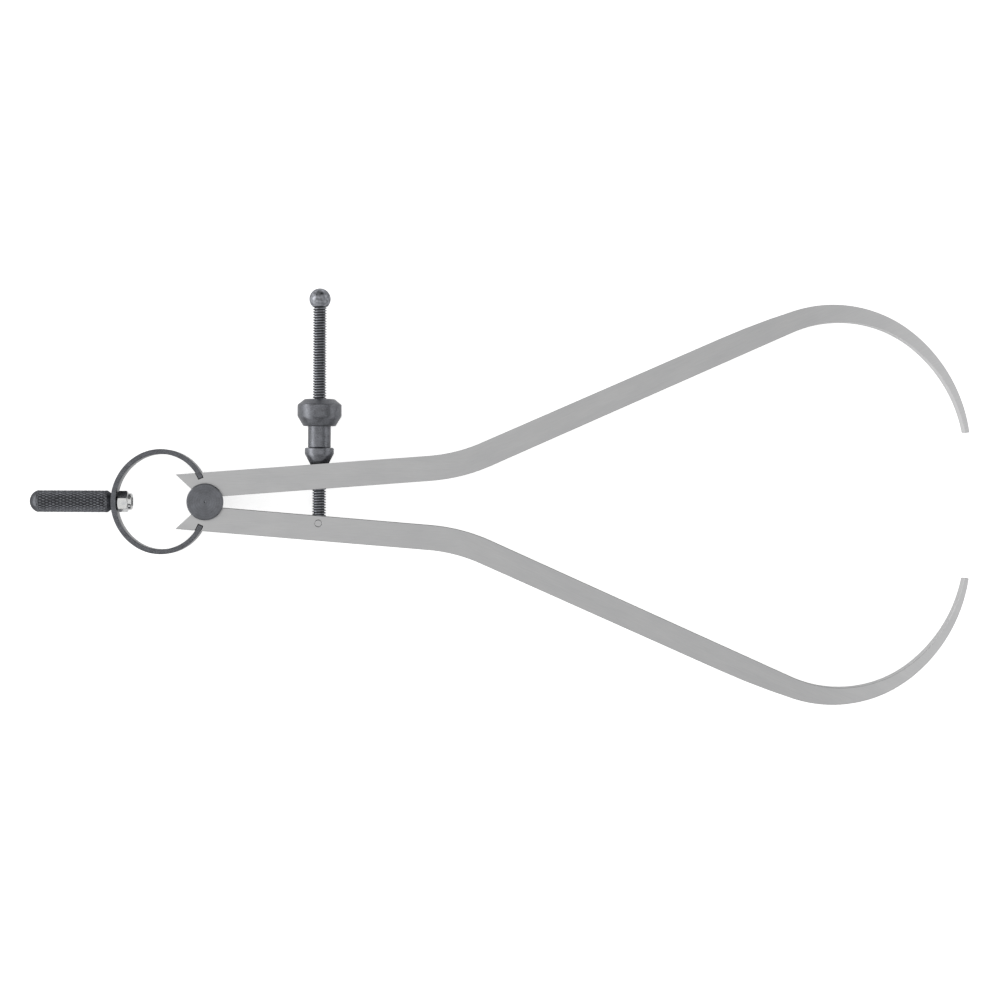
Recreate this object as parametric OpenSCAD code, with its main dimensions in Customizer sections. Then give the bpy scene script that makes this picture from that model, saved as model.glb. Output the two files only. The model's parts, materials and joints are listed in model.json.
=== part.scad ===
// Outside spring caliper, lying flat: +X points to the tips, +Y to the nut, +Z up.
// The origin is on the fulcrum axis, in the plane of the lower flange's outer face.
// All sizes are in millimetres and degrees.

/* [Legs] */
// Width of a leg in plan
leg_w = 6.55; // [5:0.05:8]
// Thickness of a leg
leg_t = 6.5; // [6:0.1:8]
// Distance from the fulcrum axis to a leg's inner edge
leg_inner = 1.17; // [0.8:0.01:1.6]
// Slope of the shank away from the middle line
shank_angle = 4.5; // [3.5:0.1:5.5]
// Length of the straight shank, from the fulcrum to the knee
shank_len = 59.4; // [50:0.1:70]
// Radius of the knee on its hollow side
knee_r = 41.5; // [25:0.5:60]
// Turn of the knee
knee_turn = 19.3; // [14:0.1:25]
// Length of the straight arm, from the knee to the taper
arm_len = 68.8; // [50:0.1:80]
// Turn of the arm's inner edge towards its outer one
arm_taper = 0.3; // [0:0.05:0.6]
// Direction of the slanted rear end face, which points at the fulcrum axis
rear_angle = 137.5; // [130:0.5:142]

/* [Hooks] */
// Outer radius of the taper
taper_r = 197.5; // [120:0.5:260]
// Turn of the taper's outer edge
taper_turn = 6; // [3:0.1:8]
// Outer radius of the hook's crown
crown_r = 33.4; // [29:0.1:38]
// Slope of the leg where the crown runs into the tip
crown_end = -39; // [-45:0.5:-33]
// Width of the leg at the end of the crown
crown_w = 2.83; // [2.2:0.01:3.6]
// How far the crown's inner edge runs on past its outer edge
crown_lag = 2.5; // [1:0.1:4]
// Outer radius of the tip
tip_r = 40.7; // [36:0.1:46]
// Width of the tip's end face
tip_w = 1.15; // [0.9:0.05:2]
// Angle from the middle line to the tip's end face at rest
tip_angle = 5.45; // [4.5:0.05:8]

/* [Fulcrum] */
// Radius of the roll that the legs bear on
core_r = 2.5; // [2:0.05:3]
// Radius of the upper flange
flange_r = 4.82; // [4:0.01:5.4]
// Radius of the lower flange
foot_r = 4; // [3.4:0.05:4.8]
// Thickness of each flange
flange_t = 1.2; // [0.8:0.05:1.6]
// Bevel of each flange's rim
flange_bevel = 0.2; // [0.1:0.05:0.4]
// Radius of the centre mark in the upper flange
mark_r = 0.4; // [0.2:0.05:0.6]
// Depth of the centre mark
mark_h = 0.3; // [0.15:0.05:0.5]

/* [Bow spring] */
// Distance from the fulcrum axis to the centre of the bow's back
bow_x = 10.75; // [10:0.05:11.5]
// Outer radius of the bow's back
back_r = 14.07; // [13.5:0.01:15]
// Outer radius of the bow's sides
side_r = 12.13; // [11.6:0.01:12.6]
// Half of the arc that the back covers
back_half = 60; // [50:1:70]
// Direction in which the strip ends, seen from the side's centre
bow_end = 23; // [21:0.5:26]
// Thickness of the strip
bow_t = 1.3; // [1:0.05:1.6]
// Width of the strip
bow_w = 6.6; // [5:0.1:8]

/* [Handle] */
// Diameter of the knurled grip
handle_d = 5.75; // [5:0.05:7]
// Length of the handle without its stud
handle_len = 21.6; // [16:0.1:28]
// Radius of the domed end
dome_r = 3; // [2.9:0.05:4]
// Length of the taper towards the bow
neck_taper = 1.1; // [0.6:0.1:2]
// Diameter of the face that meets the bow
shoulder_d = 4.1; // [3.6:0.05:4.8]
// Radius of the stud
stud_r = 1.25; // [1.1:0.05:1.5]

/* [Handle nut] */
// Size across the flats
hex_af = 5; // [4.8:0.1:6]
// Length of the hexagon
hex_len = 2.85; // [2.2:0.05:3.5]
// Diameter of the hexagon's end faces, inside their chamfer
hex_face_d = 4.6; // [4.4:0.05:4.75]
// Slope of that chamfer
hex_chamfer = 30; // [20:1:40]
// Turn of the hexagon about the handle's axis
hex_turn = 43; // [0:1:60]
// Diameter of the round collar
collar_d = 4.4; // [4:0.05:4.55]
// Length of the round collar
collar_len = 1.05; // [0.6:0.05:1.6]

/* [Screw] */
// Distance of the screw from the fulcrum axis
screw_x = 29.7; // [27:0.1:34]
// Distance of the screw's pin from the middle line
pin_y = 5.5; // [5.1:0.05:5.9]
// Radius of the screw over its thread
screw_r = 1.8; // [1.5:0.05:1.9]
// Radius of the screw's eye
eye_r = 2.2; // [2:0.05:2.5]
// Radius of the pin
pin_r = 0.9; // [0.7:0.05:1.1]
// Distance from the pin to the centre of the stop ball
screw_len = 59; // [54:0.5:70]
// Radius of the stop ball
ball_r = 2.8; // [2.5:0.05:3.4]
// Distance from the ball's centre to its flat
ball_flat = 2; // [1.6:0.05:2.2]
// How far the screw's end stands past the ball's centre
screw_end = 0.8; // [0.4:0.1:1.4]

/* [Adjusting nut] */
// Diameter of the head
head_d = 11.6; // [9.5:0.05:13]
// Length of the head's straight part
head_len = 3; // [2:0.1:5]
// Diameter of the flat on top of the head
head_top_d = 7.9; // [6:0.05:9]
// Height of the bevel on top of the head
head_top_h = 1.5; // [0.8:0.1:2.2]
// Diameter of the head's underside
head_base_d = 8.5; // [7:0.05:9.2]
// Height of the cone under the head
head_base_h = 2.6; // [1.5:0.1:4]
// Diameter of the neck
neck_d = 6; // [5:0.05:6.8]
// Length of the neck
neck_len = 5.65; // [3:0.05:9]

/* [Nut seat] */
// Diameter of the seat
seat_d = 7.65; // [7:0.05:8]
// Height of the seat's top over the leg's outer edge
seat_h = 4.3; // [3.8:0.05:6]
// Height of the seat's straight band
seat_band = 1.6; // [1:0.05:1.9]
// Bevel of the seat's upper rim
seat_bevel = 0.25; // [0.1:0.05:0.5]
// Depth of the round crown that the seat rides on, below the leg's outer edge
seat_sink = 0.1; // [0.05:0.05:0.3]
// Wall left between the seat's pocket and each face of the leg
pocket_wall = 0.35; // [0.3:0.05:0.5]

/* [Motion] */
// Furthest that each leg closes from the drawn position
swing_close = 5.3; // [3:0.05:5.35]
// Furthest that each leg opens from the drawn position
swing_open = 24; // [10:0.5:24]

/* [Fits] */
// Radial clearance of a turning fit
run_gap = 0.05; // [0.02:0.01:0.1]
// Radial clearance of a fixed pin or thread
fix_gap = 0.02; // [0.01:0.01:0.05]
// Clearance between the legs and each flange
side_gap = 0.1; // [0.05:0.05:0.2]
// Clearance of the bow spring in its notches
notch_gap = 0.1; // [0.05:0.05:0.2]
// Clearance of the screw in the leg's slots
slot_gap = 0.2; // [0.1:0.05:0.3]
// Spare turn at the ends of the slots
slot_turn = 1.5; // [0.5:0.5:3]

/* [Hidden] */
$fn = 180;
// How far a cut runs past the face that it goes through
cut = 1;
// Turn between two neighbouring points of a drawn arc
arc_step = 2;
// Bare, darkened and plated steel
steel = [0.68, 0.69, 0.7];
oxide = [0.27, 0.28, 0.31];
zinc = [0.8, 0.8, 0.79];

// Plane through the middle of the legs
mid_z = flange_t + side_gap + leg_t / 2;

// Unit vector along a direction, and the one to its left
function along(a) = [cos(a), sin(a)];
function left(a) = [-sin(a), cos(a)];
// Far point where a ray from the fulcrum axis meets a circle
function ray_hit(a, centre, r) = along(a) * (centre * along(a) + sqrt(pow(r, 2) - pow(centre * left(a), 2)));
// Point where a ray from the fulcrum axis meets a line at distance d that slopes at angle slope
function ray_line(a, d, slope) = along(a) * d / (along(a) * left(slope));

// Points of an arc about a centre, from one direction to another, leaving out the first skip points
function arc(centre, r, a0, a1, skip = 0) =
    let (n = ceil(abs(a1 - a0) / arc_step))
    [for (k = [skip : n]) centre + r * along(a0 + (a1 - a0) * k / n)];
// Direction from one point to another
function heading(p, q) = atan2(q.y - p.y, q.x - p.x);

// Outline of the leg on the nut's side, from the fulcrum to the tip: i is on the inner edge, o on the outer
leg_outer = leg_inner + leg_w;
arm_angle = shank_angle + knee_turn;
arm_in_angle = arm_angle + arm_taper;
knee_i = shank_len * along(shank_angle) + leg_inner * left(shank_angle);
knee_o = knee_i + leg_w * left(shank_angle);
knee_c = knee_o + knee_r * left(shank_angle);
arm_o = knee_c - knee_r * left(arm_angle);
arm_i = knee_c - (knee_r + leg_w) * left(arm_in_angle);
taper_o = arm_o + arm_len * along(arm_angle);
taper_c = taper_o - taper_r * left(arm_angle);
crown_o = taper_c + taper_r * left(arm_angle - taper_turn);
crown_c = crown_o - crown_r * left(arm_angle - taper_turn);
hook_o = crown_c + crown_r * left(crown_end);
hook_i = hook_o - crown_w * left(crown_end) + crown_lag * along(crown_end);
// The crown's inner arc is tangent to the arm's inner edge and to the leg's slope at the crown's end
crown_in_r = (arm_i - hook_i) * left(arm_in_angle) / (1 - cos(arm_in_angle - crown_end));
crown_in_c = hook_i - crown_in_r * left(crown_end);
// The tip's inner arc carries on from the crown's and ends at the tip's width
tip_c = hook_o - tip_r * left(crown_end);
tip_o = ray_hit(tip_angle, tip_c, tip_r);
tip_i = tip_o - tip_w * along(tip_angle);
tip_chord = tip_i - hook_i;
tip_in_r = -(tip_chord * tip_chord) / (2 * tip_chord * left(crown_end));
tip_in_c = hook_i - tip_in_r * left(crown_end);

// Pivot of the screw in the lower leg and, mirrored, of the nut seat in the upper leg
pivot = [screw_x, pin_y];
// Height of the leg's outer edge over that pivot
edge_h = leg_outer - pivot * left(shank_angle);
// Heights over the pivot along the screw
seat_top = edge_h + seat_h;
seat_ball_r = edge_h - seat_sink;
seat_cone = atan(seat_d / 2 / (seat_top - seat_band));
nut_foot = seat_top + run_gap;
head_foot = nut_foot + neck_len;
head_low = head_foot + head_base_h;
head_high = head_low + head_len;
head_top = head_high + head_top_h;

// Half height of the screw's slots and of the seat's pocket
slot_half = screw_r + slot_gap;
pocket_half = leg_t / 2 - pocket_wall;
// The pocket reaches past the leg's outer edge at its widest
pocket_reach = 2 * edge_h + seat_d / 2;

// Bow: the centre of the upper side arc and the rear face; the handle nut's end face meets the back's inner face
side_c = [-bow_x, 0] + (back_r - side_r) * along(180 - back_half);
bow_rear = -bow_x - back_r;
hex_x = -bow_x - sqrt(pow(back_r - bow_t, 2) - pow(hex_face_d / 2, 2)) + fix_gap;
nut_end = hex_x + hex_len + collar_len;
collar_round = collar_len / 3;

// Outline of a leg, out along its inner edge and back along its outer one
module leg_outline() {
    hook_normal = crown_end + 90;
    arm_normal = arm_angle + 90;
    polygon(concat(
        [ray_line(rear_angle, leg_inner, shank_angle)],
        arc(knee_c, knee_r + leg_w, shank_angle - 90, arm_in_angle - 90),
        arc(crown_in_c, crown_in_r, arm_in_angle + 90, hook_normal),
        arc(tip_in_c, tip_in_r, hook_normal, heading(tip_in_c, tip_i), 1),
        arc(tip_c, tip_r, heading(tip_c, tip_o), hook_normal),
        arc(crown_c, crown_r, hook_normal, arm_normal - taper_turn, 1),
        arc(taper_c, taper_r, arm_normal - taper_turn, arm_normal, 1),
        arc(knee_c, knee_r, arm_angle - 90, shank_angle - 90),
        [ray_line(rear_angle, leg_outer, shank_angle)]));
}

// Outline of the bow: two sides and a flatter back, out along the outer face and back along the inner one
module bow_outline() {
    turn_up = 180 - back_half;
    turn_down = 180 + back_half;
    back_c = [-bow_x, 0];
    low_c = [side_c.x, -side_c.y];
    polygon(concat(
        arc(side_c, side_r, bow_end, turn_up),
        arc(back_c, back_r, turn_up, turn_down, 1),
        arc(low_c, side_r, turn_down, 360 - bow_end, 1),
        arc(low_c, side_r - bow_t, 360 - bow_end, turn_down),
        arc(back_c, back_r - bow_t, turn_down, turn_up, 1),
        arc(side_c, side_r - bow_t, turn_up, bow_end, 1)));
}

// Plan of the bow's end in its notch, grown by a clearance
module bow_strip_plan(gap) {
    reach = 3 * side_r;
    spread = 30;
    translate(side_c)
        intersection() {
            difference() {
                circle(side_r + gap);
                circle(side_r - bow_t - gap);
            }
            translate(-gap * left(bow_end))
                polygon([[0, 0], reach * along(bow_end), reach * along(bow_end + spread)]);
        }
}

// Leg on the nut's side, centred on its thickness, before the screw's cuts
module leg_blank() {
    linear_extrude(leg_t, center = true)
        difference() {
            leg_outline();
            circle(core_r + run_gap);
            bow_strip_plan(notch_gap);
        }
}

// Way of the screw through a leg, from its pivot to one side, over the whole swing
module screw_way(side) {
    reach = 3 * leg_w;
    turns = [swing_close + slot_turn, -swing_open - slot_turn];
    linear_extrude(2 * slot_half, center = true)
        rotate(side) {
            for (a = turns)
                rotate(a) translate([-slot_half, 0]) square([2 * slot_half, reach]);
            polygon([[0, 0], reach * left(turns[1]), reach * left(turns[0])]);
        }
}

// Round-floored pocket for the nut seat, about the pivot
module seat_pocket() {
    from = 90 - swing_open - seat_cone - slot_turn;
    to = 90 + swing_close + seat_cone + slot_turn;
    difference() {
        rotate(from)
            rotate_extrude(angle = to - from)
                translate([cut, -pocket_half]) square([pocket_reach, 2 * pocket_half]);
        sphere(seat_ball_r);
    }
}

// Leg on the nut's side
module upper_leg() {
    color(steel)
        translate([0, 0, mid_z])
            difference() {
                leg_blank();
                translate(pivot) {
                    seat_pocket();
                    screw_way(0);
                    screw_way(180);
                }
            }
}

// The same leg turned over, with the seat of the screw's eye
module lower_leg() {
    color(steel)
        translate([0, 0, mid_z])
            rotate([180, 0, 0])
                difference() {
                    leg_blank();
                    translate(pivot) {
                        screw_way(180);
                        cylinder(h = 2 * slot_half, r = eye_r + slot_gap, center = true);
                        cylinder(h = leg_t + 2 * cut, r = pin_r + fix_gap, center = true);
                    }
                }
}

// C-shaped bow of flat strip, with a hole for the handle's stud
module bow_spring() {
    color(oxide)
        translate([0, 0, mid_z])
            difference() {
                linear_extrude(bow_w, center = true) bow_outline();
                translate([bow_rear - cut, 0, 0])
                    rotate([0, 90, 0])
                        cylinder(h = bow_t + 2 * cut, r = stud_r + run_gap);
            }
}

// Turned roll with a flange on each side and a centre mark on top
module fulcrum() {
    top = 2 * mid_z;
    color(oxide)
        rotate_extrude()
            polygon([[0, 0], [foot_r - flange_bevel, 0], [foot_r, flange_bevel], [foot_r, flange_t],
                     [core_r, flange_t], [core_r, top - flange_t], [flange_r, top - flange_t],
                     [flange_r, top - flange_bevel], [flange_r - flange_bevel, top], [mark_r, top],
                     [0, top - mark_h]]);
}

// Handle with a domed end and a stud that reaches into the nut's collar
module handle() {
    grip_r = handle_d / 2;
    dome_h = dome_r - sqrt(pow(dome_r, 2) - pow(grip_r, 2));
    stud_end = nut_end - bow_rear - collar_round;
    stud_bevel = stud_r / 5;
    color(oxide)
        translate([bow_rear, 0, mid_z])
            rotate([0, 90, 0]) {
                intersection() {
                    translate([0, 0, dome_r - handle_len]) sphere(dome_r);
                    translate([0, 0, -handle_len - cut]) cylinder(h = dome_h + cut, r = handle_d);
                }
                rotate_extrude()
                    polygon([[0, dome_h - handle_len], [grip_r, dome_h - handle_len], [grip_r, -neck_taper],
                             [shoulder_d / 2, 0], [stud_r, 0], [stud_r, stud_end - stud_bevel],
                             [stud_r - stud_bevel, stud_end], [0, stud_end]]);
            }
}

// Hexagon nut with a round collar
module handle_nut() {
    collar_r = collar_d / 2;
    face_r = hex_face_d / 2;
    rim_r = face_r + hex_len / 2 / tan(hex_chamfer);
    color(zinc)
        translate([hex_x, 0, mid_z])
            rotate([0, 90, 0])
                difference() {
                    union() {
                        intersection() {
                            rotate(hex_turn) cylinder(h = hex_len, r = hex_af / 2 / cos(30), $fn = 6);
                            rotate_extrude()
                                polygon([[0, 0], [face_r, 0], [rim_r, hex_len / 2], [face_r, hex_len], [0, hex_len]]);
                        }
                        rotate_extrude()
                            polygon([[0, hex_len], [collar_r, hex_len], [collar_r, hex_len + collar_len - collar_round],
                                     [collar_r - collar_round, hex_len + collar_len], [0, hex_len + collar_len]]);
                    }
                    translate([0, 0, -cut]) cylinder(h = hex_len + collar_len + 2 * cut, r = stud_r + fix_gap);
                }
}

// Screw from its eye on the pin to its end in the stop ball
module adjusting_screw() {
    root = eye_r - screw_r / 4;
    color(oxide)
        translate([screw_x, -pin_y, mid_z])
            difference() {
                union() {
                    cylinder(h = 2 * screw_r, r = eye_r, center = true);
                    rotate([-90, 0, 0])
                        translate([0, 0, root]) cylinder(h = screw_len + screw_end - root, r = screw_r);
                }
                cylinder(h = 2 * screw_r + 2 * cut, r = pin_r + run_gap, center = true);
            }
}

// Cross pin of the screw's eye, flush with the leg
module screw_pin() {
    color(steel)
        translate([screw_x, -pin_y, mid_z])
            cylinder(h = leg_t, r = pin_r, center = true);
}

// Ball with a flat, on the end of the screw
module stop_ball() {
    color(oxide)
        translate([screw_x, screw_len - pin_y, mid_z])
            rotate([-90, 0, 0])
                difference() {
                    sphere(ball_r);
                    translate([0, 0, -ball_flat - ball_r]) cylinder(h = ball_r, r = 2 * ball_r);
                    translate([0, 0, -ball_flat - cut])
                        cylinder(h = ball_flat + cut + screw_end + fix_gap, r = screw_r + fix_gap);
                }
}

// Turned nut with a bevelled head and a long neck
module adjusting_nut() {
    bore = screw_r + run_gap;
    color(oxide)
        translate([screw_x, pin_y, mid_z])
            rotate([-90, 0, 0])
                rotate_extrude()
                    polygon([[bore, nut_foot], [neck_d / 2, nut_foot], [neck_d / 2, head_foot],
                             [head_base_d / 2, head_foot], [head_d / 2, head_low], [head_d / 2, head_high],
                             [head_top_d / 2, head_top], [bore, head_top]]);
}

// Collar between the nut and the leg, dished to ride on the pocket's round floor
module nut_seat() {
    bore = screw_r + slot_gap;
    low = seat_ball_r * cos(seat_cone) - cut / 4;
    color(oxide)
        translate([screw_x, pin_y, mid_z])
            rotate([-90, 0, 0])
                difference() {
                    rotate_extrude()
                        polygon([[bore, low], [low * tan(seat_cone), low], [seat_d / 2, seat_top - seat_band],
                                 [seat_d / 2, seat_top - seat_bevel], [seat_d / 2 - seat_bevel, seat_top],
                                 [bore, seat_top]]);
                    sphere(seat_ball_r + run_gap);
                }
}

upper_leg();
lower_leg();
bow_spring();
fulcrum();
handle();
handle_nut();
adjusting_screw();
screw_pin();
stop_ball();
adjusting_nut();
nut_seat();
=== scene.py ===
"""Looks of an outside spring caliper: ground steel legs, blue-black turned parts, a knurl and a thread."""
import json
import math

import bmesh
import bpy
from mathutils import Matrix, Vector


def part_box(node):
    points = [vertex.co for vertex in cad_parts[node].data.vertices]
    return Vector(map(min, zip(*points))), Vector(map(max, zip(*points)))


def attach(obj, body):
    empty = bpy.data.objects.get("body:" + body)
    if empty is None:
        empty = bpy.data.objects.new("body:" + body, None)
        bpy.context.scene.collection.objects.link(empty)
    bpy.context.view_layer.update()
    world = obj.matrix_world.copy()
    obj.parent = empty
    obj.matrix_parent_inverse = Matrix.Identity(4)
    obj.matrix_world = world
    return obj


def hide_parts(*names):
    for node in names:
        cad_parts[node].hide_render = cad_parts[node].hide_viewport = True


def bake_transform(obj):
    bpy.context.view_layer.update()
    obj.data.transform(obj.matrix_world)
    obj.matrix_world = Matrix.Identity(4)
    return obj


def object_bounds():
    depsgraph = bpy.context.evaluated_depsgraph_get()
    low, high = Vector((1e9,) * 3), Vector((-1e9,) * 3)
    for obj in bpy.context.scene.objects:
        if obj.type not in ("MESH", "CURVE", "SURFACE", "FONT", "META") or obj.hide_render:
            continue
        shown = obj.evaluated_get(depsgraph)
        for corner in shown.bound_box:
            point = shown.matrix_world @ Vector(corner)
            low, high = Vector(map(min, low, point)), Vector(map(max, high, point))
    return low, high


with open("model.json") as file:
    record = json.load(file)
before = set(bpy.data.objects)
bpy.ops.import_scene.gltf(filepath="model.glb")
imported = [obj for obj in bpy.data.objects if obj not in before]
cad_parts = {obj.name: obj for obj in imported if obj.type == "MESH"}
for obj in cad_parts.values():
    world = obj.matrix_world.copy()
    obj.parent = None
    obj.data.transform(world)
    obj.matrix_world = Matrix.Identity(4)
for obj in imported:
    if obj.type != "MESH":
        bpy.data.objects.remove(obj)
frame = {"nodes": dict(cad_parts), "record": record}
cad_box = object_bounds()
nodes = frame["nodes"]
grip = next(mount for mount in frame["record"]["mounts"] if mount["name"] == "handle_grip")

MM = 0.001
# Points closer than this are one point, and points this close to a cutting plane lie in it
SAME_POINT = 0.001 * MM
ON_PLANE = 0.0001 * MM

# Camera: straight down on the legs' upper face
IMAGE_PX = 1000
PX_PER_MM = 3.815
VIEW_DISTANCE = 850 * MM
VIEW_CENTRE = (77.3 * MM, 0.85 * MM)
VIEW_ROLL = math.radians(0.27)
CLIP_START = 10 * MM

# Light panels: place, with X counted from the view's centre, size in metres, and radiance
PANELS = {
    "top_panel": ((-0.15, 0, 1.1), (1.4, 2.4), 0.79),
    "left_panel": ((-1.2, 0, 0.42), (2.4, 0.6), 3.0),
    "right_panel": ((1.2, 0, 0.32), (2.4, 0.6), 1.3),
    "front_panel": ((0, -1.3, 0.5), (2.4, 0.6), 0.7),
}
WORLD_LIGHT = 0.15

# Floor: its glow is added to what the camera sees, and its sheen to what the metal mirrors
FLOOR_SIZE = 6.0
FLOOR_GAP = 0.05 * MM
FLOOR_GREY = 0.9
FLOOR_GLOW = 0.7
FLOOR_SHEEN = 0.3

# Legs: the arms turn by an angle at the knee
KNEE_X = 67 * MM
ARM_TURN = math.radians(24)
LEG_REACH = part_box("upper_leg")[1].x

# Values between which noise mostly lies
NOISE_RANGE = (0.3, 0.7)

# Ground steel: the grey at shares of the legs' reach, lighter by the fulcrum and at the hooks as painted
# light, the grain, and the patches with their level and blue
STEEL_PAINTED_LIGHT_GREYS = ((0.0, 0.5), (0.45, 0.475), (0.78, 0.475), (0.92, 0.55), (1.0, 0.6))
STEEL_ROUGHNESS = (0.34, 0.44)
GRAIN_WIDTH = 0.22 * MM
GRAIN_STRETCH = (14, 1, 1)
GRAIN_CONTRAST = 0.045
GRAIN_DEPTH = 0.004 * MM
PATCH_SIZE = 4 * MM
PATCH_STRETCH = (2.5, 1, 1)
PATCH_GREYS = ((0.97, 0.006), (1.03, 0.002))
# A narrow wall is where the normal's Z is small; its colour is darkened as painted shade, by two factors
# that hold at these shares of the reach
SHADED_WALL_NORMAL_Z = (0.4, 0.9)
WALL_SHADE_SHARES = (0.3, 0.85)

# Blue-black oxide: mottled patches, an orange peel, and how far the specks vary the roughness
OXIDE_PATCH = 1.6 * MM
OXIDE_MOTTLE = 0.15
OXIDE_BLUES = (0.05, 0.06)
OXIDE_PEEL = 0.012 * MM
OXIDE_ROUGHNESS = (-0.08, 0.1)
SPECK_RANGE = (0.3, 0.75)

# Turning marks on the fulcrum's disc, and a wave texture's length at scale 1
TURNING_PITCH = 0.65 * MM
TURNING_DEPTH = 0.03 * MM
TURNING_CONTRAST = 0.035
TURNING_RANGE = (0.2, 0.8)
WAVE_LENGTH = math.pi / 10

# Bright zinc
ZINC_COLOURS = ((0.6, 0.61, 0.62), (0.76, 0.76, 0.745))
ZINC_ROUGHNESS = (0.14, 0.22)
ZINC_PATCH = 1.2 * MM
ZINC_DEPTH = 0.002 * MM

# Edges of the CAD nodes sharper than the first angle are broken, and those below the other are taken as flat
EDGE_ANGLE = math.radians(38)
FLAT_ANGLE = math.radians(0.2)
EDGE_SEGMENTS = 2
NORMAL_WEIGHT = 100

# Adjusting screw, with the share of the pitch and of the depth at each corner of the thread's profile
PITCH = 0.7 * MM
THREAD_DEPTH = 0.43 * MM
THREAD_PROFILE = ((0.0, 0.0), (0.3, 0.0), (0.52, 1.0), (0.78, 1.0))
ROUND_STEPS = 36
# The eye's hole is this many times as wide as its pin
HOLE_CLEARANCE = 1.05
# Share of its radius by which the thread runs into the eye
EYE_OVERLAP = 0.25

# Handle: a diamond knurl between a domed end and a tapered shoulder with a stud
KNURL_COUNT = 22
KNURL_LENGTH = 1.8 * MM
KNURL_DEPTH = 0.28 * MM
KNURL_STEPS = 8
KNURL_FADE_ROWS = 2
# Share of a full ridge's height at which the diamonds are cut flat
KNURL_FLAT = 0.6
DOME_R = 3.0 * MM
DOME_STEPS = 20
SHOULDER_TAPER = 1.1 * MM
SHOULDER_R = 2.05 * MM
STUD_R = 1.25 * MM
STUD_CHAMFER = STUD_R / 5

# Bow spring: cut in two halves at the middle plane, with its sharp edges rounded and its nearly flat faces
# merged
BOW_EDGE = 0.18 * MM
BOW_EDGE_ANGLE = math.radians(50)
BOW_FLAT_ANGLE = math.radians(0.1)
# Edges nearer to the middle plane than this, round the stud's hole, stay sharp
BOW_SHARP_Y = 1.5 * STUD_R

grip_r = grip["dims"]["r_mm"] * MM
grip_len = grip["dims"]["length_mm"] * MM
screw_low, screw_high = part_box("adjusting_screw")
screw_x = (screw_low.x + screw_high.x) / 2
screw_z = (screw_low.z + screw_high.z) / 2
screw_r = (screw_high.z - screw_low.z) / 2


# Meshes

def add_object(name, bm, material, smooth_angle):
    """Links a bmesh as an object, smooth except at edges sharper than smooth_angle in degrees."""
    bmesh.ops.recalc_face_normals(bm, faces=bm.faces)
    for face in bm.faces:
        face.smooth = True
    for edge in bm.edges:
        edge.smooth = edge.is_manifold and edge.calc_face_angle() < math.radians(smooth_angle)
    mesh = bpy.data.meshes.new(name)
    bm.to_mesh(mesh)
    bm.free()
    mesh.materials.append(material)
    obj = bpy.data.objects.new(name, mesh)
    bpy.context.scene.collection.objects.link(obj)
    return obj


def join_rings(bm, rings):
    """Joins each ring of vertices to the next one with a band of faces."""
    for low, high in zip(rings, rings[1:]):
        count = len(low)
        for k in range(count):
            n = (k + 1) % count
            bm.faces.new((low[k], low[n], high[n], high[k]))


def cut_away(bm, y, side):
    """Cuts off all past y, towards +Y for side 1 and -Y for side -1, and returns the cut's edges."""
    geometry = bm.verts[:] + bm.edges[:] + bm.faces[:]
    cut = bmesh.ops.bisect_plane(bm, geom=geometry, dist=ON_PLANE, plane_co=(0, y, 0), plane_no=(0, side, 0),
                                 clear_outer=True)
    return [part for part in cut["geom_cut"] if isinstance(part, bmesh.types.BMEdge)]


# Shader nodes

def metal(name):
    """A metal material; returns the material, its node tree and its principled shader."""
    material = bpy.data.materials.new(name)
    material.use_nodes = True
    shader = material.node_tree.nodes["Principled BSDF"]
    shader.inputs["Metallic"].default_value = 1.0
    return material, material.node_tree, shader


def maths(tree, operation, *values):
    """Result of a math node whose inputs are the values, each a socket or a number."""
    node = tree.nodes.new("ShaderNodeMath")
    node.operation = operation
    for socket, value in zip(node.inputs, values):
        if isinstance(value, (int, float)):
            socket.default_value = value
        else:
            tree.links.new(value, socket)
    return node.outputs[0]


def times(tree, one, other):
    """Product of two colours."""
    node = tree.nodes.new("ShaderNodeVectorMath")
    node.operation = "MULTIPLY"
    tree.links.new(one, node.inputs[0])
    tree.links.new(other, node.inputs[1])
    return node.outputs[0]


def coordinate(tree, kind):
    """X, Y and Z of the object's coordinates, for kind Object, or of its normals, for kind Normal."""
    coords = tree.nodes.new("ShaderNodeTexCoord")
    parts = tree.nodes.new("ShaderNodeSeparateXYZ")
    tree.links.new(coords.outputs[kind], parts.inputs[0])
    return parts.outputs


def along_leg(tree, turn):
    """Coordinates whose first axis runs with the leg: along X to the knee, then at the angle turn."""
    x, y, z = coordinate(tree, "Object")
    past_knee = maths(tree, "MAXIMUM", maths(tree, "SUBTRACT", x, KNEE_X), 0)
    across = maths(tree, "MULTIPLY_ADD", past_knee, -math.tan(turn), y)
    joined = tree.nodes.new("ShaderNodeCombineXYZ")
    for value, socket in zip((x, across, z), joined.inputs):
        tree.links.new(value, socket)
    return joined.outputs[0]


def distance(tree, centre, axis):
    """Distance from the line through centre along an axis, 0 for X, 1 for Y and 2 for Z."""
    coords = tree.nodes.new("ShaderNodeTexCoord")
    mapping = tree.nodes.new("ShaderNodeMapping")
    mapping.inputs["Location"].default_value = [0 if k == axis else -centre[k] for k in range(3)]
    mapping.inputs["Scale"].default_value = [0 if k == axis else 1 for k in range(3)]
    length = tree.nodes.new("ShaderNodeVectorMath")
    length.operation = "LENGTH"
    tree.links.new(coords.outputs["Object"], mapping.inputs["Vector"])
    tree.links.new(mapping.outputs["Vector"], length.inputs[0])
    return length.outputs["Value"]


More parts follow.
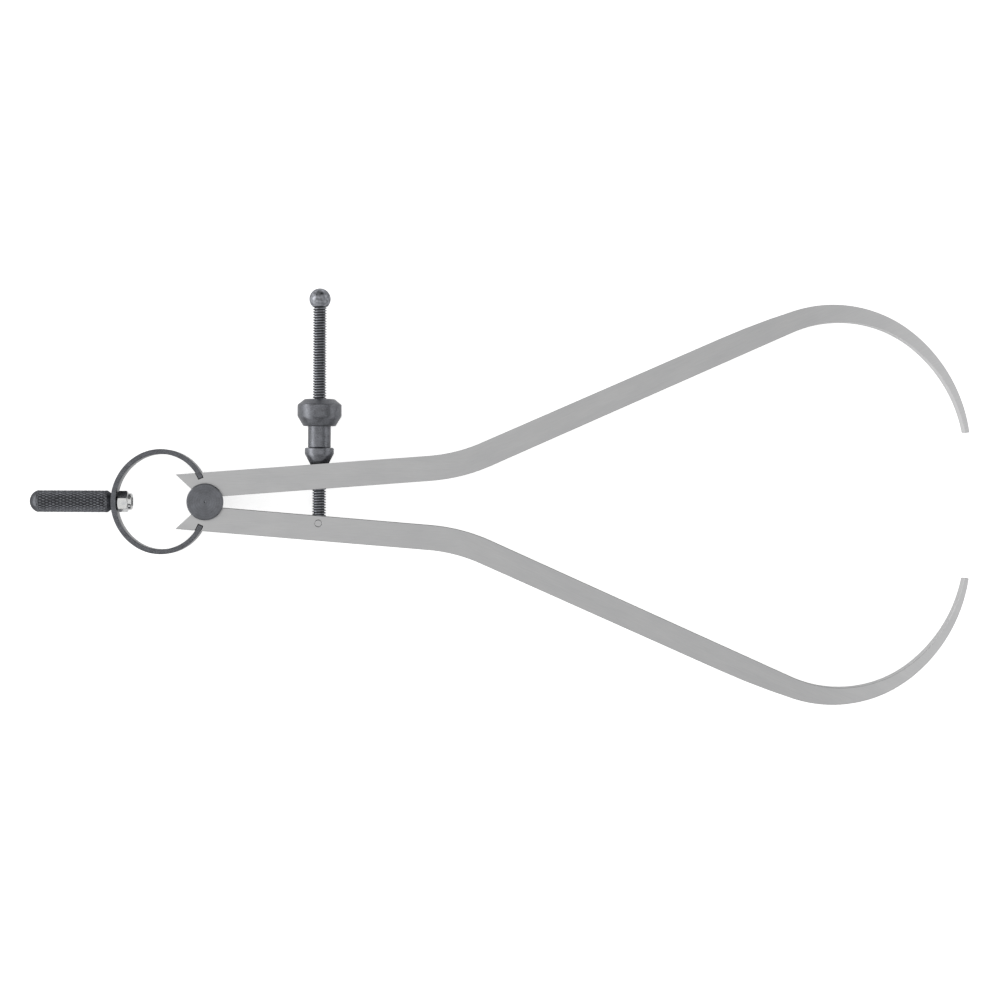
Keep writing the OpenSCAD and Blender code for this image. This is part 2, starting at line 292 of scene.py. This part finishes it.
def noise(tree, size, detail, stretch=(1, 1, 1), vector=None):
    """Noise with features of about the given size in metres, stretched along the axes of the coordinates."""
    mapping = tree.nodes.new("ShaderNodeMapping")
    mapping.inputs["Scale"].default_value = [1 / (size * s) for s in stretch]
    texture = tree.nodes.new("ShaderNodeTexNoise")
    texture.inputs["Scale"].default_value = 1.0
    texture.inputs["Detail"].default_value = detail
    vector = vector or tree.nodes.new("ShaderNodeTexCoord").outputs["Object"]
    tree.links.new(vector, mapping.inputs["Vector"])
    tree.links.new(mapping.outputs["Vector"], texture.inputs["Vector"])
    return texture.outputs["Fac"]


def ramp(tree, value, *stops):
    """Colour that runs through the stops, each a place between 0 and 1 and a colour, as value grows."""
    node = tree.nodes.new("ShaderNodeValToRGB")
    elements = node.color_ramp.elements
    while len(elements) < len(stops):
        elements.new(0.5)
    for element, (place, colour) in zip(elements, stops):
        element.position = place
        element.color = (*colour, 1)
    tree.links.new(value, node.inputs["Fac"])
    return node.outputs["Color"]


def span(tree, value, low, high, at=NOISE_RANGE):
    """Value mapped from the range in at to the range low to high."""
    node = tree.nodes.new("ShaderNodeMapRange")
    node.inputs["From Min"].default_value, node.inputs["From Max"].default_value = at
    node.inputs["To Min"].default_value, node.inputs["To Max"].default_value = low, high
    tree.links.new(value, node.inputs["Value"])
    return node.outputs["Result"]


def grey(level, blue=0.0):
    """A grey of that level with a little blue."""
    return (level * (1 - blue), level * (1 - blue / 2), level * (1 + blue))


def blend_colours(tree, value, low, high, at=NOISE_RANGE):
    """Colour from low to high as value grows between the places in at."""
    return ramp(tree, value, (at[0], low), (at[1], high))


def flecks(tree, value, contrast, at=NOISE_RANGE):
    """Factor for a colour, from 1 - contrast to 1 + contrast as value grows between the places in at."""
    return blend_colours(tree, value, grey(1 - contrast), grey(1 + contrast), at)


def bump(tree, shader, height, depth, strength):
    """Bump of the given depth in metres on the shader, over any bump that is there already."""
    node = tree.nodes.new("ShaderNodeBump")
    node.inputs["Distance"].default_value = depth
    node.inputs["Strength"].default_value = strength
    tree.links.new(height, node.inputs["Height"])
    normal = shader.inputs["Normal"]
    if normal.is_linked:
        tree.links.new(normal.links[0].from_socket, node.inputs["Normal"])
    tree.links.new(node.outputs["Normal"], normal)


# Materials

def ground_steel(name, turn, wall_shade=(1.0, 1.0)):
    """Fine-ground bare steel whose grain runs with the leg, at the angle turn past the knee, faintly cloudy.

    The narrow side faces, whose normals lie flat, have their colour multiplied by the two factors in
    wall_shade as
    painted shade: the first by the fulcrum, the second at the hooks.
    """
    material, tree, shader = metal(name)
    lengthwise = along_leg(tree, turn)
    grain = noise(tree, GRAIN_WIDTH, detail=3.0, stretch=GRAIN_STRETCH, vector=lengthwise)
    cloud = noise(tree, PATCH_SIZE, detail=4.0, stretch=PATCH_STRETCH, vector=lengthwise)
    reach = span(tree, coordinate(tree, "Object")["X"], 0, 1, (0, LEG_REACH))
    # Painted light: the steel is painted lighter by the fulcrum and at the hooks
    body = ramp(tree, reach, *((share, grey(level)) for share, level in STEEL_PAINTED_LIGHT_GREYS))
    patches = blend_colours(tree, cloud, *(grey(*pair) for pair in PATCH_GREYS))
    # Painted shade: side faces whose normals lie flat are darkened, most by the fulcrum
    upright = maths(tree, "ABSOLUTE", coordinate(tree, "Normal")["Z"])
    painted_wall_shade = span(tree, upright, 1, 1, SHADED_WALL_NORMAL_Z)
    tree.links.new(span(tree, reach, *wall_shade, WALL_SHADE_SHARES), painted_wall_shade.node.inputs["To Min"])
    colour = times(tree, body, patches)
    for factor in (flecks(tree, grain, GRAIN_CONTRAST), painted_wall_shade):
        colour = times(tree, colour, factor)
    tree.links.new(colour, shader.inputs["Base Color"])
    tree.links.new(span(tree, grain, *STEEL_ROUGHNESS), shader.inputs["Roughness"])
    bump(tree, shader, grain, GRAIN_DEPTH, strength=0.35)
    return material


def oxide(name, level, roughness, speckle=0.22 * MM, contrast=0.25, wear_and_shade=None, rim=1.0):
    """Blue-black oxide on steel: mottled, with fine light specks and a little orange peel.

    wear_and_shade is a centre, an axis, two radii and two factors: the colour is multiplied by the first
    factor at the first radius and by the second at the other, painted shade in the hollows and raised edges
    lightened, partly worn bright and partly as painted highlight. rim below 1 dulls the surface where it
    turns away.
    """
    material, tree, shader = metal(name)
    shader.inputs["Specular Tint"].default_value = (rim, rim, rim, 1)
    specks = noise(tree, speckle, detail=4.0)
    cloud = noise(tree, OXIDE_PATCH, detail=3.0)
    dark = grey(level * (1 - OXIDE_MOTTLE), OXIDE_BLUES[0])
    light = grey(level * (1 + OXIDE_MOTTLE), OXIDE_BLUES[1])
    body = blend_colours(tree, cloud, dark, light)
    colour = times(tree, body, flecks(tree, specks, contrast, SPECK_RANGE))
    # Painted shade darkens the hollows; the raised edges are lightened, partly worn bright and partly as
    # painted highlight
    if wear_and_shade:
        centre, axis, radii, factors = wear_and_shade
        colour = times(tree, colour, span(tree, distance(tree, centre, axis), *factors, radii))
    tree.links.new(colour, shader.inputs["Base Color"])
    smooth, rough = (roughness + change for change in OXIDE_ROUGHNESS)
    tree.links.new(span(tree, specks, smooth, rough), shader.inputs["Roughness"])
    bump(tree, shader, specks, OXIDE_PEEL, strength=0.5)
    return material


def turned_oxide(name, level):
    """Blue-black oxide over the fine rings of a facing cut about the fulcrum axis."""
    material = oxide(name, level, roughness=0.34, speckle=0.3 * MM, contrast=0.1)
    tree = material.node_tree
    shader = tree.nodes["Principled BSDF"]
    tangent = tree.nodes.new("ShaderNodeTangent")
    tangent.direction_type = "RADIAL"
    tangent.axis = "Z"
    tree.links.new(tangent.outputs[0], shader.inputs["Tangent"])
    shader.inputs["Anisotropic"].default_value = 0.6
    shader.inputs["Anisotropic Rotation"].default_value = 0.25
    rings = tree.nodes.new("ShaderNodeTexWave")
    rings.wave_type = "RINGS"
    rings.rings_direction = "Z"
    rings.inputs["Scale"].default_value = WAVE_LENGTH / TURNING_PITCH
    rings.inputs["Distortion"].default_value = 0.6
    rings.inputs["Detail"].default_value = 3.0
    coords = tree.nodes.new("ShaderNodeTexCoord")
    tree.links.new(coords.outputs["Object"], rings.inputs["Vector"])
    bump(tree, shader, rings.outputs["Fac"], TURNING_DEPTH, strength=0.8)
    body = shader.inputs["Base Color"].links[0].from_socket
    marks = flecks(tree, rings.outputs["Fac"], TURNING_CONTRAST, TURNING_RANGE)
    tree.links.new(times(tree, body, marks), shader.inputs["Base Color"])
    return material


def bright_zinc(name):
    """Bright zinc plate with a faint cloudy sheen."""
    material, tree, shader = metal(name)
    cloud = noise(tree, ZINC_PATCH, detail=2.0)
    tree.links.new(blend_colours(tree, cloud, *ZINC_COLOURS), shader.inputs["Base Color"])
    tree.links.new(span(tree, cloud, *ZINC_ROUGHNESS), shader.inputs["Roughness"])
    bump(tree, shader, cloud, ZINC_DEPTH, strength=0.1)
    return material


# Thread roots and knurl grooves darkened as painted shade; crests lightened as worn oxide and painted
# highlight
thread_wear_and_shade = ((screw_x, 0, screw_z), 1, (screw_r - THREAD_DEPTH, screw_r), (0.3, 1.45))
knurl_wear_and_shade = (grip["pos_m"], 0, (grip_r - KNURL_DEPTH, grip_r), (0.35, 1.85))

# The legs' side faces are darkened as painted shade, by the fulcrum and, on the lower leg, more at the hook
steel_up = ground_steel("ground_steel_up", ARM_TURN, wall_shade=(0.6, 0.94))
steel_low = ground_steel("ground_steel_low", -ARM_TURN, wall_shade=(0.6, 0.8))
steel_pin = ground_steel("ground_steel_pin", 0)
nut_oxide = oxide("nut_oxide", 0.18, roughness=0.38, contrast=0.42)
seat_oxide = oxide("seat_oxide", 0.22, roughness=0.4, contrast=0.42)
spring_oxide = oxide("spring_oxide", 0.14, roughness=0.28, speckle=0.3 * MM)
ball_oxide = oxide("ball_oxide", 0.33, roughness=0.42, speckle=0.8 * MM, contrast=0.65, rim=0.4)
screw_oxide = oxide("screw_oxide", 0.21, roughness=0.32, speckle=0.25 * MM, contrast=0.45, wear_and_shade=thread_wear_and_shade,
                    rim=0.3)
grip_oxide = oxide("grip_oxide", 0.145, roughness=0.36, speckle=0.3 * MM, contrast=0.45, wear_and_shade=knurl_wear_and_shade,
                   rim=0.4)
end_oxide = oxide("end_oxide", 0.12, roughness=0.38, speckle=0.25 * MM, contrast=0.35, rim=0.4)
disc_oxide = turned_oxide("disc_oxide", 0.16)
zinc = bright_zinc("bright_zinc")


# CAD nodes that keep their shape get a finish and a small edge break

def dress(name, material, edge):
    """Gives a CAD node its material and breaks its sharp edges by the given width."""
    obj = nodes[name]
    obj.data.materials.clear()
    obj.data.materials.append(material)
    weld = obj.modifiers.new("weld", "WELD")
    weld.merge_threshold = SAME_POINT
    flats = obj.modifiers.new("flats", "DECIMATE")
    flats.decimate_type = "DISSOLVE"
    flats.angle_limit = FLAT_ANGLE
    bevel = obj.modifiers.new("edges", "BEVEL")
    bevel.width = edge
    bevel.segments = EDGE_SEGMENTS
    bevel.limit_method = "ANGLE"
    bevel.angle_limit = EDGE_ANGLE
    normals = obj.modifiers.new("normals", "WEIGHTED_NORMAL")
    normals.weight = NORMAL_WEIGHT


dress("upper_leg", steel_up, 0.18 * MM)
dress("lower_leg", steel_low, 0.18 * MM)
dress("screw_pin", steel_pin, 0.12 * MM)
dress("fulcrum", disc_oxide, 0.05 * MM)
dress("handle_nut", zinc, 0.08 * MM)
dress("stop_ball", ball_oxide, 0.1 * MM)
dress("adjusting_nut", nut_oxide, 0.15 * MM)
dress("nut_seat", seat_oxide, 0.1 * MM)


# Adjusting screw: a true helical thread on the screw's own axis, with its eye

def helical_thread(bm, start, end):
    """Right-hand thread along the screw's axis, cut flat and closed at the places start and end on Y."""
    turns = math.ceil((end - start) / PITCH) + 2
    rows = []
    for turn in range(turns + 1):
        for phase, depth in THREAD_PROFILE:
            r = screw_r - THREAD_DEPTH * depth
            row = []
            for k in range(ROUND_STEPS):
                angle = 2 * math.pi * k / ROUND_STEPS
                y = start + PITCH * (turn - 1 + phase + k / ROUND_STEPS)
                row.append(bm.verts.new((screw_x + r * math.sin(angle), y, screw_z + r * math.cos(angle))))
            rows.append(row)
    per_turn = len(THREAD_PROFILE)
    for below, above, next_below, next_above in zip(rows, rows[1:], rows[per_turn:], rows[per_turn + 1:]):
        low = below + next_below[:1]
        high = above + next_above[:1]
        for k in range(ROUND_STEPS):
            bm.faces.new((low[k], low[k + 1], high[k + 1], high[k]))
    for y, side in ((start, -1), (end, 1)):
        bmesh.ops.edgeloop_fill(bm, edges=cut_away(bm, y, side))
    loose = [v for v in bm.verts if not v.link_faces]
    bmesh.ops.delete(bm, geom=loose, context="VERTS")


def screw_eye(bm, eye_y, eye_r):
    """Flat round eye with a hole for the pin, as thick as the thread."""
    pin_low, pin_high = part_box("screw_pin")
    hole_r = (pin_high.x - pin_low.x) / 2 * HOLE_CLEARANCE
    rings = []
    for r, side in ((hole_r, -1), (eye_r, -1), (eye_r, 1), (hole_r, 1)):
        ring = []
        for k in range(ROUND_STEPS):
            angle = 2 * math.pi * k / ROUND_STEPS
            ring.append(bm.verts.new((screw_x + r * math.cos(angle), eye_y + r * math.sin(angle),
                                      screw_z + side * screw_r)))
        rings.append(ring)
    join_rings(bm, rings + rings[:1])


def threaded_screw():
    """The screw's thread and eye as one piece."""
    eye_r = (screw_high.x - screw_low.x) / 2
    eye_y = screw_low.y + eye_r
    bm = bmesh.new()
    helical_thread(bm, eye_y + eye_r - EYE_OVERLAP * screw_r, screw_high.y)
    screw_eye(bm, eye_y, eye_r)
    return add_object("threaded_screw", bm, screw_oxide, smooth_angle=25)


screw = threaded_screw()
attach(screw, "screw")
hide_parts("adjusting_screw")


# Handle: domed, with a raised diamond knurl along the grip and a plain stud

def knurl_height(around, along):
    """Height of the knurl, 0 in a groove and 1 on a flat-topped diamond, at a place counted in diamonds."""
    ridges = [1 - abs(2 * ((around + turn * along) % 1) - 1) for turn in (1, -1)]
    return min(min(ridges) / KNURL_FLAT, 1)


def knurled_handle():
    """The handle as rings along X, from the domed end to the stud."""
    low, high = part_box("handle")
    axis_z = (low.z + high.z) / 2
    grip_from = grip["pos_m"][0] - grip_len / 2
    grip_to = grip_from + grip_len
    columns = KNURL_COUNT * KNURL_STEPS
    bm = bmesh.new()

    def ring(x, radius_at):
        verts = []
        for k in range(columns):
            angle = 2 * math.pi * k / columns
            r = radius_at(k / KNURL_STEPS)
            verts.append(bm.verts.new((x, r * math.sin(angle), axis_z + r * math.cos(angle))))
        return verts

    def plain_ring(x, r):
        return ring(x, lambda around: r)

    def knurl_ring(x, along, depth):
        return ring(x, lambda around: grip_r - depth * (1 - knurl_height(around, along)))

    rings = []
    dome_x = low.x + DOME_R
    for k in range(1, DOME_STEPS + 1):
        x = low.x + (grip_from - low.x) * (k / DOME_STEPS) ** 2
        r = math.sqrt(DOME_R ** 2 - (dome_x - x) ** 2)
        rings.append(plain_ring(x, min(r, grip_r)))
    rows = round(grip_len / KNURL_LENGTH * KNURL_STEPS)
    for k in range(1, rows):
        fade = min(1, k / KNURL_FADE_ROWS, (rows - k) / KNURL_FADE_ROWS)
        rings.append(knurl_ring(grip_from + grip_len * k / rows, k / KNURL_STEPS, KNURL_DEPTH * fade))
    shoulder_x = grip_to + SHOULDER_TAPER
    for x, r in ((grip_to, grip_r), (shoulder_x, SHOULDER_R), (shoulder_x, STUD_R),
                 (high.x - STUD_CHAMFER, STUD_R), (high.x, STUD_R - STUD_CHAMFER)):
        rings.append(plain_ring(x, r))
    join_rings(bm, rings)
    bm.faces.new(rings[0][::-1])
    bm.faces.new(rings[-1])
    obj = add_object("knurled_handle", bm, grip_oxide, smooth_angle=50)
    obj.data.materials.append(end_oxide)
    knurl_to = grip_to - KNURL_FADE_ROWS * grip_len / rows
    for face in obj.data.polygons:
        if not grip_from < face.center.x < knurl_to:
            face.material_index = 1
    return obj


handle = knurled_handle()
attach(handle, "bow")
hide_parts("handle")


# Bow spring: two halves, each curving from the handle to the notch of its leg

def bow_half(side, leg):
    """Half of the bow on one side of the middle plane, with its edges rounded."""
    bm = bmesh.new()
    bm.from_mesh(nodes["bow_spring"].data)
    bmesh.ops.remove_doubles(bm, verts=bm.verts, dist=SAME_POINT)
    bmesh.ops.contextual_create(bm, geom=cut_away(bm, 0, -side))
    bmesh.ops.recalc_face_normals(bm, faces=bm.faces)
    flat = [e for e in bm.edges if e.is_manifold and e.calc_face_angle() < BOW_FLAT_ANGLE]
    crossing = [e for e in flat if abs(e.verts[0].co.z - e.verts[1].co.z) > SAME_POINT]
    bmesh.ops.dissolve_edges(bm, edges=crossing, use_verts=False)
    sharp = [e for e in bm.edges if e.is_manifold and e.calc_face_angle() > BOW_EDGE_ANGLE
             and all(abs(v.co.y) > BOW_SHARP_Y for v in e.verts)]
    bmesh.ops.bevel(bm, geom=sharp, offset=BOW_EDGE, segments=EDGE_SEGMENTS, affect="EDGES", profile=0.5,
                    clamp_overlap=True)
    obj = add_object("bow_spring_" + leg, bm, spring_oxide, smooth_angle=30)
    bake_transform(obj)
    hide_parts("bow_spring")


bow_half(1, "upper_leg")
bow_half(-1, "lower_leg")


# Stage: a white floor, soft light from above and from three sides, and a camera straight above

def floor_material():
    """White that the camera sees at full white outside the object's deepest shadow."""
    material = bpy.data.materials.new("white_floor")
    material.use_nodes = True
    tree = material.node_tree
    tree.nodes.clear()
    out = tree.nodes.new("ShaderNodeOutputMaterial")
    diffuse = tree.nodes.new("ShaderNodeBsdfDiffuse")
    diffuse.inputs["Color"].default_value = (FLOOR_GREY, FLOOR_GREY, FLOOR_GREY, 1)
    glow = tree.nodes.new("ShaderNodeEmission")
    path = tree.nodes.new("ShaderNodeLightPath")
    level = 0
    for ray, strength in (("Is Camera Ray", FLOOR_GLOW), ("Is Transmission Ray", FLOOR_GLOW),
                          ("Is Glossy Ray", FLOOR_SHEEN)):
        level = maths(tree, "MULTIPLY_ADD", path.outputs[ray], strength, level)
    tree.links.new(level, glow.inputs["Strength"])
    add = tree.nodes.new("ShaderNodeAddShader")
    tree.links.new(diffuse.outputs[0], add.inputs[0])
    tree.links.new(glow.outputs[0], add.inputs[1])
    tree.links.new(add.outputs[0], out.inputs["Surface"])
    return material


def white_floor():
    """A square floor just under the object."""
    half = FLOOR_SIZE / 2
    z = cad_box[0].z - FLOOR_GAP
    corners = [(-half, -half, z), (half, -half, z), (half, half, z), (-half, half, z)]
    mesh = bpy.data.meshes.new("floor")
    mesh.from_pydata(corners, [], [(0, 1, 2, 3)])
    mesh.materials.append(floor_material())
    floor = bpy.data.objects.new("floor", mesh)
    bpy.context.scene.collection.objects.link(floor)


def studio_world():
    """Faint even light from all round."""
    world = bpy.data.worlds.new("studio")
    world.use_nodes = True
    background = world.node_tree.nodes["Background"]
    background.inputs["Color"].default_value = (1, 1, 1, 1)
    background.inputs["Strength"].default_value = WORLD_LIGHT
    bpy.context.scene.world = world


def light_panel(name, offset, size, radiance):
    """A soft panel that looks at the view's centre and sends out the given radiance."""
    data = bpy.data.lights.new(name, "AREA")
    data.shape = "RECTANGLE"
    data.size, data.size_y = size
    data.energy = radiance * math.pi * size[0] * size[1]
    lamp = bpy.data.objects.new(name, data)
    lamp.location = (VIEW_CENTRE[0] + offset[0], offset[1], offset[2])
    lamp.rotation_euler = (Vector((*VIEW_CENTRE, 0)) - lamp.location).to_track_quat("-Z", "Y").to_euler()
    lamp.visible_camera = False
    bpy.context.scene.collection.objects.link(lamp)


def view_camera():
    """The camera straight above, whose lens gives the photograph's scale on the legs' upper face."""
    lens = bpy.data.cameras.new("camera")
    lens.lens = lens.sensor_width * VIEW_DISTANCE / (IMAGE_PX / PX_PER_MM * MM)
    lens.clip_start = CLIP_START
    camera = bpy.data.objects.new("camera", lens)
    camera.location = (*VIEW_CENTRE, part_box("upper_leg")[1].z + VIEW_DISTANCE)
    camera.rotation_euler = (0, 0, VIEW_ROLL)
    bpy.context.scene.collection.objects.link(camera)
    bpy.context.scene.camera = camera


white_floor()
studio_world()
for panel, (offset, size, radiance) in PANELS.items():
    light_panel(panel, offset, size, radiance)
view_camera()
bpy.context.scene.view_settings.view_transform = "Standard"
